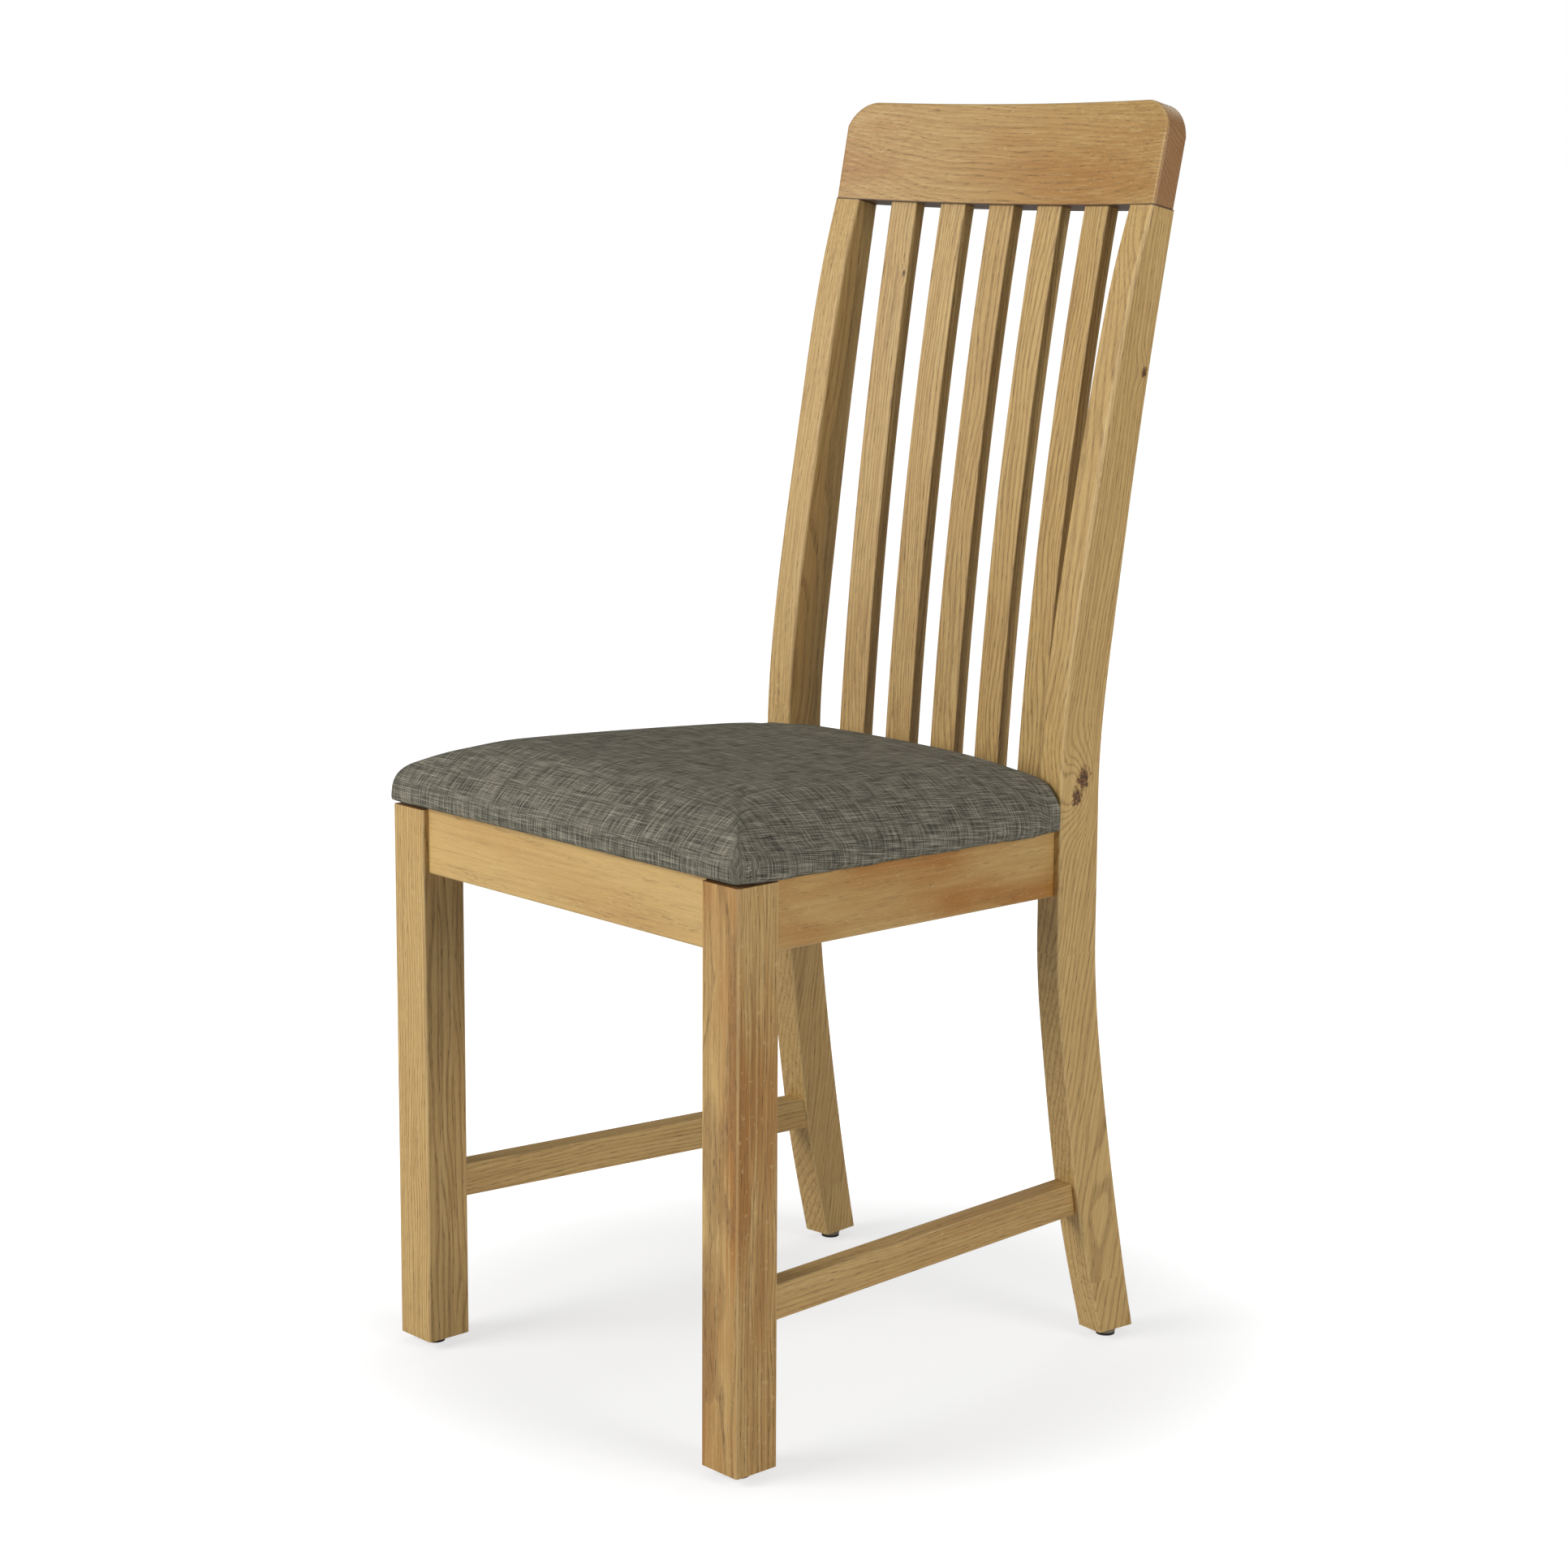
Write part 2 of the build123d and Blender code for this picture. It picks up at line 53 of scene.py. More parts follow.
class Graph:
    """The node tree of one material, built by short calls that return sockets."""

    def __init__(self, name):
        self.material = bpy.data.materials.new(name)
        self.material.use_nodes = True
        self.tree = self.material.node_tree
        self.tree.nodes.clear()

    def add(self, kind, inputs=(), **settings):
        """A new node. Inputs that are sockets are linked, and other values are set."""
        node = self.tree.nodes.new(kind)
        for key, value in settings.items():
            setattr(node, key, value)
        for key, value in dict(inputs).items():
            if isinstance(value, bpy.types.NodeSocket):
                self.tree.links.new(value, node.inputs[key])
            else:
                node.inputs[key].default_value = value
        return node

    def math(self, operation, a, b=0.0, c=0.0, clamp=False):
        inputs = {0: a, 1: b, 2: c}
        return self.add("ShaderNodeMath", inputs, operation=operation, use_clamp=clamp).outputs[0]

    def plus(self, a, b):
        return self.math("ADD", a, b)

    def minus(self, a, b):
        return self.math("SUBTRACT", a, b)

    def times(self, a, b):
        return self.math("MULTIPLY", a, b)

    def times_plus(self, a, b, c):
        return self.math("MULTIPLY_ADD", a, b, c)

    def hypot(self, a, b):
        return self.math("SQRT", self.plus(self.times(a, a), self.times(b, b)))

    def step(self, value, low, high, out_low=0.0, out_high=1.0):
        """A smooth step from out_low to out_high as the value goes from low to high."""
        inputs = {0: value, 1: low, 2: high, 3: out_low, 4: out_high}
        return self.add("ShaderNodeMapRange", inputs, interpolation_type="SMOOTHSTEP").outputs[0]

    def vector(self, operation, a, b=(0, 0, 0), output="Vector"):
        return self.add("ShaderNodeVectorMath", {0: a, 1: b}, operation=operation).outputs[output]

    def dot(self, a, b):
        return self.vector("DOT_PRODUCT", a, b, "Value")

    def join(self, x, y, z):
        return self.add("ShaderNodeCombineXYZ", {0: x, 1: y, 2: z}).outputs[0]

    def split(self, vector):
        return self.add("ShaderNodeSeparateXYZ", {0: vector}).outputs

    def object_place(self):
        return self.add("ShaderNodeTexCoord").outputs["Object"]

    def noise(self, vector, scale=1.0, detail=2.0, rough=0.5):
        inputs = {"Vector": vector, "Scale": scale, "Detail": detail, "Roughness": rough}
        return self.add("ShaderNodeTexNoise", inputs).outputs["Fac"]

    def stretched_noise(self, vector, cycles, detail=2.0, rough=0.5):
        """Noise with its own number of cycles per metre along each axis."""
        return self.noise(self.vector("MULTIPLY", vector, cycles), 1.0, detail, rough)

    def mix(self, share, a, b):
        return self.add("ShaderNodeMix", {0: share, 6: a, 7: b}, data_type="RGBA").outputs[2]

    def finish(self, colour, roughness, height, strength, **fixed):
        """A principled surface. Numbers that are the same all over are set on its own sockets."""
        bumps = {"Height": height, "Strength": strength, "Distance": BUMP_DEPTH}
        normal = self.add("ShaderNodeBump", bumps).outputs[0]
        inputs = {"Base Color": colour, "Roughness": roughness, "Normal": normal}
        inputs.update({key.replace("_", " "): value for key, value in fixed.items()})
        surface = self.add("ShaderNodeBsdfPrincipled", inputs)
        self.add("ShaderNodeOutputMaterial", {"Surface": surface.outputs[0]})
        return self.material


def rgb(*levels):
    """A screen colour, its red, green and blue from 0 to 255, as a linear one."""
    parts = [level / 255 for level in levels]
    parts = [c / 12.92 if c <= 0.04045 else ((c + 0.055) / 1.055) ** 2.4 for c in parts]
    return (*parts, 1.0)


# ---- Oak -----------------------------------------------------------------------------------------

OAK_LIGHT = rgb(200, 166, 104)
OAK_MIDDLE = rgb(178, 140, 82)
OAK_DARK = rgb(130, 95, 48)
OAK_PORE = rgb(88, 62, 34)
OAK_RAY = rgb(206, 178, 122)
OAK_WARM = rgb(164, 112, 48)
# A painted highlight for the rounded edges.
OAK_EDGE_HIGHLIGHT = rgb(224, 200, 150)
OAK_END = rgb(146, 98, 66)
OAK_END_RING = rgb(100, 62, 40)
# The knots' colour, also used for the painted shade along the crest's joint.
OAK_KNOT_AND_JOINT_SHADE = rgb(58, 34, 19)
OAK_KNOT_PALE = rgb(116, 74, 38)

# Noise cycles per metre through the face, across it and along the grain.
WANDER = (16, 16, 4.5)          # slow bends of the rings
WOBBLE = (90, 90, 14)           # small ones
STREAK = (380, 380, 7)
FIBRE = (1500, 1500, 30)
PORES = (1150, 1150, 85)
CLOUD = (22, 22, 5)             # patches of warmer wood
TORN = (420, 420, 300)          # ragged rim of a knot
CRACKS = (480, 480, 480)        # and the broken wood in it

WANDER_DEPTH = 0.022            # how far the rings move
WOBBLE_DEPTH = 0.0022
RING_UNEVEN = (0.23, 2.4)       # noise cycles per ring, and how many rings it adds
BOARD_SHIFT = 0.03              # neighbouring boards lie up to this far apart in the log
BOARD_TONES = 0.5               # and differ in tone by up to this much
RAYS = (95.0, 190.0, 210.0)     # cycles per radian round the pith, per metre out and along it
# Widths of the thin dark line of painted shade along the crest's joint with the posts.
JOINT_SHADE_LINE = (0.0004, 0.0011)    # half width of its dark middle, and of all of it


class Oak(Graph):
    """Oak cut from a log: growth rings round a pith, pores, rays and knots, all in the piece's own
    grain frame, with x through its face, y across it and z along the grain.

    along is the grain's direction and face the normal of the best face. pith is where the log's
    middle lies from the piece's centre, across the face and through it. A far pith gives straight
    grain. seed gives the piece its own place in the log."""

    def __init__(self, name, centre, along, face, pith, seed):
        super().__init__(name)
        self.centre, self.pith, self.seed = Vector(centre), pith, seed
        self.z_axis = Vector(along).normalized()
        self.y_axis = self.z_axis.cross(Vector(face)).normalized()
        self.x_axis = self.y_axis.cross(self.z_axis)
        turn = Matrix((self.x_axis, self.y_axis, self.z_axis)).transposed().to_euler()
        self.place = self.object_place()
        inputs = {"Vector": self.place, "Location": centre, "Rotation": turn}
        self.local = self.add("ShaderNodeMapping", inputs, vector_type="TEXTURE").outputs[0]
        self.x, self.y, self.z = self.split(self.local)

    def glue_up(self, layer, joints):
        """A random number for each board: layer is the thickness of boards glued face to face, and
        joints are the heights of finger joints."""
        board = self.seed
        if layer:
            boards_in = self.plus(self.math("DIVIDE", self.x, layer), 0.5)
            board = self.plus(board, self.math("FLOOR", boards_in))
        for height in joints:
            above = self.math("GREATER_THAN", self.split(self.place)[2], height)
            board = self.times_plus(above, 5.0, board)
        white_noise = self.add("ShaderNodeTexWhiteNoise", {"W": board}, noise_dimensions="1D")
        self.board = white_noise.outputs[0]
        along = self.times_plus(self.board, 3.0, self.seed * 2.3)
        offset = self.join(self.seed * 1.7, self.seed * 0.9, along)
        self.shifted = self.vector("ADD", self.local, offset)

    def grain(self, cycles, detail=2.0, rough=0.5):
        return self.stretched_noise(self.shifted, cycles, detail, rough)

    def knot(self, spot, size):
        """How far the rings part round a knot, and its dark heart."""
        from_centre = Vector(spot) - self.centre
        dy = self.minus(self.y, from_centre.dot(self.y_axis))
        dz = self.times(self.minus(self.z, from_centre.dot(self.z_axis)), 0.7)
        near = self.hypot(dy, dz)
        torn = self.minus(self.grain(TORN, 3.0, 0.65), 0.5)
        ragged = self.times_plus(torn, 2.2 * size, near)
        parted = self.step(near, 0.0, size * 5, size * 1.6, 0.0)
        return parted, self.step(ragged, size * 0.35, size * 1.15, 1.0, 0.0)

    def grow_rings(self, spacing, tilt, knots):
        """Where the early wood, the late wood, the rays and the knots' hearts lie."""
        wander, wobble = self.grain(WANDER), self.grain(WOBBLE)
        across = self.minus(self.y, self.times_plus(self.z, tilt, self.pith[0]))
        through = self.minus(self.x, self.times_plus(self.board, BOARD_SHIFT, self.pith[1]))
        small_bend = self.times(wobble, WOBBLE_DEPTH)
        bend = self.times_plus(self.minus(wander, 0.5), WANDER_DEPTH, small_bend)
        self.heart = 0.0
        for spot, size in knots:
            parted, heart = self.knot(spot, size)
            bend = self.plus(bend, parted)
            self.heart = self.math("MAXIMUM", self.heart, heart)

        radius = self.plus(self.hypot(across, through), bend)
        count = self.math("DIVIDE", radius, spacing)
        uneven = self.noise(self.join(self.times(count, RING_UNEVEN[0]), self.seed, 0.0), 1.0, 1.0)
        count = self.times_plus(uneven, RING_UNEVEN[1], count)
        phase = self.math("FRACT", count)
        self.early = self.times(self.step(phase, 0.0, 0.10), self.step(phase, 0.22, 0.5, 1.0, 0.0))
        self.late = self.step(phase, 0.35, 0.98)

        angle = self.math("ARCTAN2", through, across)
        lengths = zip((angle, radius, self.z), RAYS)
        polar = self.join(*(self.times(length, cycles) for length, cycles in lengths))
        self.ray = self.step(self.noise(polar, 1.0, 1.0), 0.64, 0.74)

    def grow_fibres(self):
        """Long fibres all over, and short dark pores, most of them in the early wood."""
        self.fibre = self.grain(FIBRE, 3.0, 0.6)
        pores = self.step(self.grain(PORES, 1.0), 0.56, 0.68)
        self.pore = self.times(pores, self.times_plus(self.early, 0.75, 0.25))

    def face_colour(self, shade, warm, figure):
        """Rings, warm patches, streaks, fibres, rays and pores."""
        streak, cloud = self.grain(STREAK), self.grain(CLOUD)
        streaked = 0.1 + 0.35 * figure
        base = self.minus(0.62, shade)
        darker = self.math("MULTIPLY_ADD", self.late, 0.5 * figure, base, clamp=True)
        colour = self.mix(darker, OAK_LIGHT, OAK_MIDDLE)
        colour = self.mix(self.times(self.step(cloud, 0.35, 0.75), warm), colour, OAK_WARM)
        colour = self.mix(self.step(streak, 0.50, 0.72, 0.0, streaked), colour, OAK_DARK)
        colour = self.mix(self.step(streak, 0.48, 0.30, 0.0, streaked), colour, OAK_RAY)
        fibrous = self.step(self.fibre, 0.48, 0.70, 0.0, 0.22 + 0.2 * figure)
        colour = self.mix(fibrous, colour, OAK_DARK)
        colour = self.mix(self.times(self.early, 0.5 * figure), colour, OAK_DARK)
        colour = self.mix(self.times(self.ray, 0.34), colour, OAK_RAY)
        return self.mix(self.times(self.pore, 0.3 + 0.3 * figure), colour, OAK_PORE)

    def end_colour_and_edge_highlight(self, colour):
        """End grain drinks more lacquer and is darker and redder. The rounded edges get a painted
        highlight, a paler colour where the normal leans to two sides at once."""
        normal = self.add("ShaderNodeNewGeometry").outputs["Normal"]
        facing = self.math("ABSOLUTE", self.dot(normal, self.z_axis))
        end = self.step(facing, 0.55, 0.9, 0.0, 0.62)
        colour = self.mix(end, colour, self.mix(self.late, OAK_END, OAK_END_RING))
        lean_x = self.math("ABSOLUTE", self.dot(normal, self.x_axis))
        lean_y = self.math("ABSOLUTE", self.dot(normal, self.y_axis))
        # Painted highlight: the rounded edges are made paler.
        edge_highlight = self.step(self.math("MINIMUM", lean_x, lean_y), 0.2, 0.6, 0.0, 0.22)
        return self.mix(edge_highlight, colour, OAK_EDGE_HIGHLIGHT)

    def seam_colour(self, colour, point, across):
        """A thin dark line of painted shade along a joint through a point, with the joint facing
        across.
        """
        gap = self.math("ABSOLUTE", self.dot(self.vector("SUBTRACT", self.place, point), across))
        return self.mix(self.step(gap, *JOINT_SHADE_LINE, 0.85, 0.0), colour, OAK_KNOT_AND_JOINT_SHADE)

    def knot_colour(self, colour):
        """A dark halo round each knot's heart, which is cracked."""
        colour = self.mix(self.step(self.heart, 0.0, 0.5, 0.0, 0.5), colour, OAK_DARK)
        cracks = self.grain(CRACKS, 3.0)
        core = self.mix(self.step(cracks, 0.42, 0.56), OAK_KNOT_PALE, OAK_KNOT_AND_JOINT_SHADE)
        return self.mix(self.step(self.heart, 0.35, 0.95, 0.0, 0.92), colour, core)


def oak(
    name, centre, along, face, pith, seed, tone=0.5, warm=0.3, ring=0.0028, tilt=0.0, figure=1.0,
    layer=0.0, joints=(), knots=(), seam=None,
):
    """An oak material. Its first arguments are those of Oak. tone is how pale it is, warm how much
    of it is brown, ring the spacing of the rings, tilt their slope along the piece and figure how
    strongly they show. layer and joints go to glue_up. knots are places and sizes, and seam
    is a point on a joint and the direction across it, where a thin dark line of painted shade is
    drawn."""
    g = Oak(name, centre, along, face, pith, seed)
    g.glue_up(layer, joints)
    g.grow_rings(ring, tilt, knots)
    g.grow_fibres()
    shade = g.times_plus(g.minus(g.board, 0.5), BOARD_TONES if layer or joints else 0.0, tone)
    colour = g.end_colour_and_edge_highlight(g.face_colour(shade, warm, figure))
    # A thin dark line of painted shade along the joint.
    if seam:
        colour = g.seam_colour(colour, *seam)
    if knots:
        colour = g.knot_colour(colour)
    height = g.times_plus(g.pore, -1.0, g.times(g.fibre, 0.35))
    rough = g.times_plus(g.fibre, 0.14, g.times_plus(g.pore, 0.2, 0.40))
    return g.finish(
        colour, rough, height, 0.16, Specular_IOR_Level=0.42, Coat_Weight=0.12, Coat_Roughness=0.32,
    )


def middle(name):
    low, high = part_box(name)
    return (low + high) / 2


def dress(name, material):
    """Give a CAD node one material in all its slots."""
    slots = nodes[name].data.materials
    if not len(slots):
        slots.append(material)
    for index in range(len(slots)):
        slots[index] = material


def dress_oak(name, along, face, pith, seed, **looks):
    dress(name, oak("oak_" + name, middle(name), along, face, pith, seed, **looks))


UP = (0, 0, 1)
FRONT = (0, -1, 0)
ACROSS = (1, 0, 0)
POST_TURN = radians(4.85)
CREST_LEAN = radians(12.5)
CREST_SEAM = ((0, 0.216, 0.92), (0, sin(CREST_LEAN), cos(CREST_LEAN)))
LEG_BOARD = 0.0135
POST_JOINTS = (0.052, 0.332)
POST_KNOTS = (
    ((0.1754, 0.1410, 0.4738), 0.0078),
    ((0.1748, 0.1345, 0.4603), 0.0066),
    ((0.1801, 0.1968, 0.7921), 0.0036),
)
SLAT_KNOTS = (((-0.0981, 0.195, 0.8626), 0.0020),)
# The slats' tones. Those of slats 4 and 5 are raised as painted light, making up for the shade they
# stand in.
SLAT_TONES_AND_PAINTED_LIGHT = (0.6, 0.85, 0.58, 1.05, 1.0)
MIDDLE_SLAT = 3
CORNER_BLOCKS = (
    "front_corner_block_left", "front_corner_block_right",
    "rear_corner_block_left", "rear_corner_block_right",
)

dress_oak(
    "front_leg_right", UP, FRONT, (0.004, 0.075), 3.1,
    tone=0.3, warm=1.3, ring=0.0034, tilt=0.03, layer=LEG_BOARD,
)
# Its paler tone is partly painted light, making up for the fill light that its inner side misses.
dress_oak(
    "front_leg_left", UP, FRONT, (0.09, 0.02), 7.4,
    tone=0.7, warm=0.2, tilt=0.006, layer=LEG_BOARD,
)
for side, sign in (("left", -1), ("right", 1)):
    outer = (sign * cos(POST_TURN), -sin(POST_TURN), 0)
    # The right post is made paler than the left: partly painted light, making up for the fill light
    # that its outer face misses.
    dress_oak(
        "back_leg_" + side, (0, 0.16, 1), outer, (0.06, 0.05), 11.3 + 5 * sign,
        tone=0.85 + 0.2 * sign, warm=0.1, ring=0.0034, tilt=0.02, figure=0.75,
        joints=POST_JOINTS, knots=POST_KNOTS if sign > 0 else (), seam=CREST_SEAM,
    )
    dress_oak(
        "side_apron_" + side, (-0.1 * sign, 1, -0.045), (sign, 0, 0), (0.02, 0.11), 21.7 + sign,
        tone=0.12, warm=1.5, tilt=0.02, figure=0.15,
    )
    dress_oak(
        "side_stretcher_" + side, (-0.08 * sign, 1, -0.015), (sign, 0, 0), (0.05, 0.03),
        31.9 + 3 * sign, tone=0.55 - 0.15 * sign, warm=0.25, tilt=0.01, figure=0.7,
    )
dress_oak(
    "front_apron", ACROSS, FRONT, (0.015, 0.16), 41.2,
    tone=0.85, warm=0.3, ring=0.004, tilt=0.03, figure=0.15,
)
dress_oak("rear_apron", ACROSS, FRONT, (0.05, 0.06), 47.5, tone=0.45, figure=0.6)
dress_oak(
    "crest_rail", ACROSS, (0, -1, 0.2), (0.07, 0.05), 53.8,
    tone=-0.02, warm=0.75, ring=0.003, tilt=0.05, figure=0.6, seam=CREST_SEAM,
)
for index, tone in enumerate(SLAT_TONES_AND_PAINTED_LIGHT, 1):
    dress_oak(
        f"back_slat_{index}", (0, 0.14, 1), FRONT, (0.05, 0.03 + 0.01 * index), 60.0 + 7.3 * index,
        tone=tone, warm=0.2, ring=0.0026, tilt=0.012 * (index - MIDDLE_SLAT),
        knots=SLAT_KNOTS if index == 1 else (),
    )
for index, block in enumerate(CORNER_BLOCKS):
    dress_oak(block, (1, 0.9, 0), UP, (0.04, 0.05), 90.0 + index, tone=0.7, warm=0.1)
for pins in ("rail_dowels", "crest_dowels"):
    dress_oak(pins, UP, FRONT, (0.3, 0.2), 99.0, tone=0.8, ring=0.001)


# ---- Other materials -----------------------------------------------------------------------------

CLOTH_DARK = rgb(48, 47, 42)
CLOTH_PALE = rgb(198, 192, 172)
WEFT_BAND = (rgb(102, 99, 88), rgb(119, 115, 101))
WARP_BAND = rgb(98, 94, 84)
WEAVE_PITCH = 2 * pi / 0.0012       # radians per metre: two threads take 1.2 mm
DRIFT_CYCLES = (24, 24, 24)
DRIFT = 0.001                       # the threads wander by up to this much
THREADS = (                         # name, noise cycles per metre along u and v, and offset
    ("weft_fine", 40, 1300, 0.0), ("weft_slub", 14, 760, 3.0), ("weft_band", 5, 260, 9.0),
    ("warp_fine", 1300, 40, 7.0), ("warp_slub", 760, 14, 5.0), ("warp_band", 260, 5, 12.0),
)
THREAD_SHARES = (
    ("weft_slub", 0.24), ("warp_slub", 0.24), ("weft_fine", 0.44), ("warp_fine", 0.42),
)


def cloth_material():
    """Grey melange cloth: slubbed threads both ways over a plain weave. Its coordinates are laid
    out in metres over the cushion, so the threads run across the top and turn down its sides."""
    g = Graph("seat_fabric")
    place = g.add("ShaderNodeAttribute", attribute_name="thread").outputs["Vector"]
    u, v = g.split(place)[:2]
    drift = g.stretched_noise(place, DRIFT_CYCLES, 1.0)
    u = g.times_plus(drift, DRIFT, u)
    v = g.times_plus(drift, -DRIFT, v)
    threads = {}
    for name, along_u, along_v, offset in THREADS:
        spot = g.join(g.times(u, along_u), g.times(v, along_v), offset)
        threads[name] = g.noise(spot, 1.0, 2.0, 0.6)
    waves = [g.math("SINE", g.times(length, WEAVE_PITCH)) for length in (u, v)]
    weave = g.times_plus(g.times(*waves), 0.5, 0.5)
    colour = g.mix(g.step(threads["weft_band"], 0.38, 0.62), *WEFT_BAND)
    colour = g.mix(g.step(threads["warp_band"], 0.45, 0.68, 0.0, 0.5), colour, WARP_BAND)
    for name, share in THREAD_SHARES:
        colour = g.mix(g.step(threads[name], 0.53, 0.66, 0.0, share), colour, CLOTH_PALE)
        colour = g.mix(g.step(threads[name], 0.48, 0.36, 0.0, share + 0.15), colour, CLOTH_DARK)
    colour = g.mix(g.times(weave, 0.25), colour, CLOTH_DARK)
    fine = g.plus(threads["weft_fine"], threads["warp_fine"])
    height = g.plus(g.times(weave, 0.5), fine)
    return g.finish(colour, 0.95, height, 0.45, Specular_IOR_Level=0.08)


def speckled(name, dark, light, scale, rough, strength, **fixed):
    """A plain manufactured surface with fine mottling."""
    g = Graph(name)
    place = g.object_place()
    grain = g.noise(place, scale, 3.0, 0.6)
    patch = g.noise(place, scale / 12, 2.0)
    colour = g.mix(g.step(grain, 0.3, 0.7), dark, light)
    colour = g.mix(g.step(patch, 0.3, 0.8, 0.0, 0.35), colour, dark)
    return g.finish(colour, g.times_plus(grain, 0.15, rough), grain, strength, **fixed)


def plywood_material():
    """The wavy face of rotary-cut plywood, with fine fibres."""
    g = Graph("plywood")
    place = g.object_place()
    figure = g.stretched_noise(place, (9, 60, 60), 4.0)
    fibre = g.stretched_noise(place, (60, 1300, 1300))
    colour = g.mix(g.step(figure, 0.35, 0.65), rgb(214, 184, 138), rgb(190, 152, 104))
    colour = g.mix(g.step(fibre, 0.5, 0.8, 0.0, 0.3), colour, rgb(140, 102, 62))
    return g.finish(colour, 0.7, fibre, 0.1)


steel = speckled(
    "zinc_steel", rgb(150, 150, 146), rgb(205, 205, 200), 900, 0.28, 0.05, Metallic=1.0,
)
glide = speckled(
    "glide_plastic", rgb(112, 104, 90), rgb(150, 140, 122), 1800, 0.5, 0.12, Specular_IOR_Level=0.4,
)
felt = speckled("glide_felt", rgb(26, 24, 23), rgb(52, 48, 45), 2600, 0.9, 0.5, Sheen_Weight=0.2)
dust = speckled("dust_cloth", rgb(18, 18, 19), rgb(40, 40, 42), 1500, 0.85, 0.5)
foam = speckled("seat_foam", rgb(214, 202, 160), rgb(236, 228, 194), 1200, 0.9, 0.5)
for name in ("block_screws", "seat_screws", "glide_nails"):
    dress(name, steel)
for name in ("glide_front_left", "glide_front_right", "glide_back_left", "glide_back_right"):
    dress(name, glide)
dress("glide_pads", felt)
dress("dust_cover", dust)
dress("seat_foam", foam)
dress("seat_board", plywood_material())
dress("seat_cover", dust)


# ---- Cushion -------------------------------------------------------------------------------------

seat_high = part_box("seat_cover")[1]
leg_low, leg_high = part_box("front_leg_right")

# The CAD cushion. A back post stands in a notch whose inner face is at POST_X and front at POST_Y.
SLOPE = 0.045                           # the seat falls this much per unit towards the back
rail_top = leg_high.z + SLOPE * (leg_high.y - leg_low.y)
seat_front = leg_low.y
FRONT_OVERHANG = 0.004
SIDE_TAPER = 0.0835                     # each side comes in this much per unit towards the back
REAR_BOW = 0.008
POST_CLEARANCE = 0.0005
BLOCK_PAST_NOTCH = 0.042                # a rear corner block ends this far behind its front
POST_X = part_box("rear_apron")[1].x - POST_CLEARANCE
POST_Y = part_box("rear_corner_block_right")[1].y - BLOCK_PAST_NOTCH
SIDE_HEIGHT = 0.0266                    # its side is straight up to here
EDGE_ARC = 0.020                        # and then rounds over with this radius
FLAT_START = SIDE_HEIGHT + EDGE_ARC * (pi / 2 - 1)      # length of its skin less depth, on top

# The pillow made from it.
TUCK = 0.0020                           # its lower edge lies this far inside the CAD cushion
NOSE_OUT = 0.003                        # its widest line lies this far outside it
NOSE_HEIGHT = 0.014                     # at this height over the rails
TUCK_RUN = 0.015                        # with this length of cloth below it
CROWN = 0.040                           # the middle is this much higher than that line
DOME_RUN = 0.090                        # and its height is reached this far in from it
DOME_FALL, DOME_FULL = 3.2, 0.8         # exponents: a steep side, and a rounded shoulder
DROOP = 0.45                            # how fully the two edges of a corner pull it down
OUTLINE_SHARP = 4.0                     # how little the corners of the outline are rounded off
CORNER_SHARP = 1.6                      # and of the lines of equal droop
UNDER = 0.004                           # lower and further in than this is the underside
UNDER_FADE = 0.03
SHIFT_FADE = (0.08, 0.13)               # points this far in no longer move sideways
POST_FADE = (0.004, 0.018)              # and none does this near a post
RUN_TABLE = np.linspace(0, 0.3, 1200)
LEAST_GAP = 1e-4
LEAST_ARC = 1e-6
TINY = 1e-9

# Its making.
VOXEL = 0.0042
SMOOTHING = 4
SWELL_LIMIT = 0.0025
SWELL_FRAMES = 20
PRESSURE = 4
HELD_EDGE = (0.002, 0.009)              # held up to the first height, and free from the second
HELD_AT_POST = 0.008                    # held this near a notch


def over_seat(co):
    """Heights over the sloping plane that the seat lies on."""
    return co[:, 2] - rail_top + SLOPE * (co[:, 1] - seat_front)


def inside_edge(x, y, sharp=OUTLINE_SHARP):
    """How far plan points lie inside the cushion's outline, with its corners rounded off."""
    x = np.abs(x)
    front = y - (seat_front - FRONT_OVERHANG)
    side = seat_high.x - SIDE_TAPER * (y - seat_front) - x
    rear = seat_high.y - REAR_BOW * (x / POST_X) ** 2 - y
    gaps = [np.maximum(gap, LEAST_GAP) for gap in (front, side, rear)]
    return sum(gap ** -sharp for gap in gaps) ** (-1 / sharp)


def from_post(x, y):
    """Plan distance from the notch that a back post stands in."""
    return np.hypot(np.maximum(POST_X - np.abs(x), 0), np.maximum(POST_Y - y, 0))


def inward(x, y):
    """Unit plan directions away from the nearest edge."""
    step = 0.001
    gx = inside_edge(x + step, y) - inside_edge(x - step, y)
    gy = inside_edge(x, y + step) - inside_edge(x, y - step)
    size = np.maximum(np.hypot(gx, gy), TINY)
    return gx / size, gy / size


def dome(run):
    """Height of the cloth over its widest line, a given run in from there."""
    left = np.clip(1 - run / DOME_RUN, 0, 1)
    return CROWN * (1 - left ** DOME_FALL) ** DOME_FULL


def droop(run, second_run):
    """How far a corner hangs below the dome, because its second edge pulls it down too."""
    return DROOP * (dome(run) - dome(np.minimum(run, second_run)))


def smooth_step(value, low, high):
    share = np.clip((value - low) / (high - low), 0, 1)
    return share * share * (3 - 2 * share)


